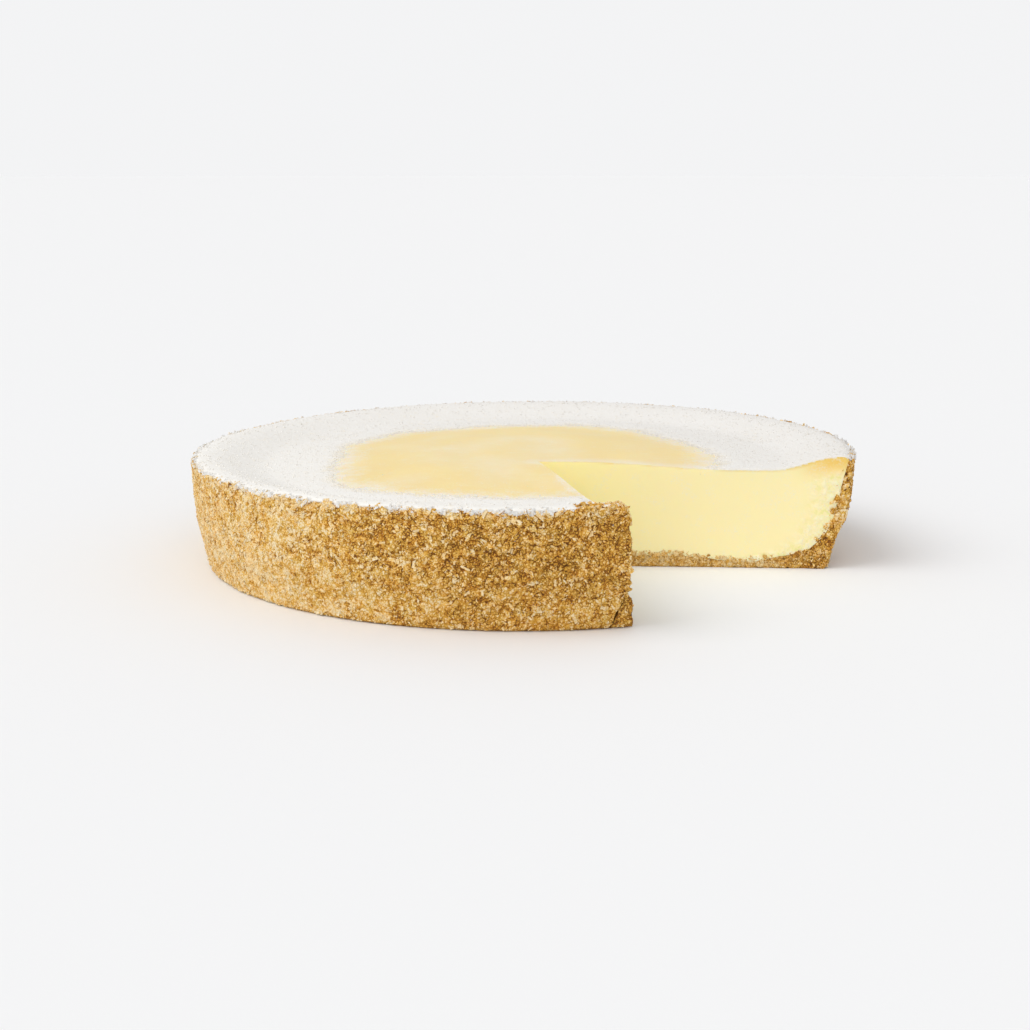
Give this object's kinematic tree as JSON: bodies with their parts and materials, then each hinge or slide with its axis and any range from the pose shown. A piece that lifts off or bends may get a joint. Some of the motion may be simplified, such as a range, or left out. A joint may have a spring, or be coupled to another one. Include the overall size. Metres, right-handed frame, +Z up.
{
  "type": "baked cheesecake",
  "caption": "Round baked cheesecake in a pressed crumb crust, its filling dished inside a raised lip, dusted with a ring of icing sugar, with one wedge cut out.",
  "frame": {"origin": "on the underside of the crust, at the axis of the round cake", "axes": "+Z up out of the top. -Y is the front, where the cake is looked at from, and +X its right. The missing wedge opens to the front right, between azimuths 17.9 and 86.7 degrees from the front."},
  "size_m": [0.2621, 0.262, 0.0453],
  "materials": {
    "crumb_crust": "baked biscuit crumb, golden brown, rough and granular",
    "cheese_filling": "set baked custard, pale yellow, smooth and slightly moist where cut",
    "icing_sugar": "sifted icing sugar, off-white, powdery"
  },
  "bodies": {
    "root": {"crumb_crust": "crumb_crust", "cheese_filling": "cheese_filling", "icing_sugar": "icing_sugar"}
  },
  "joints": []
}
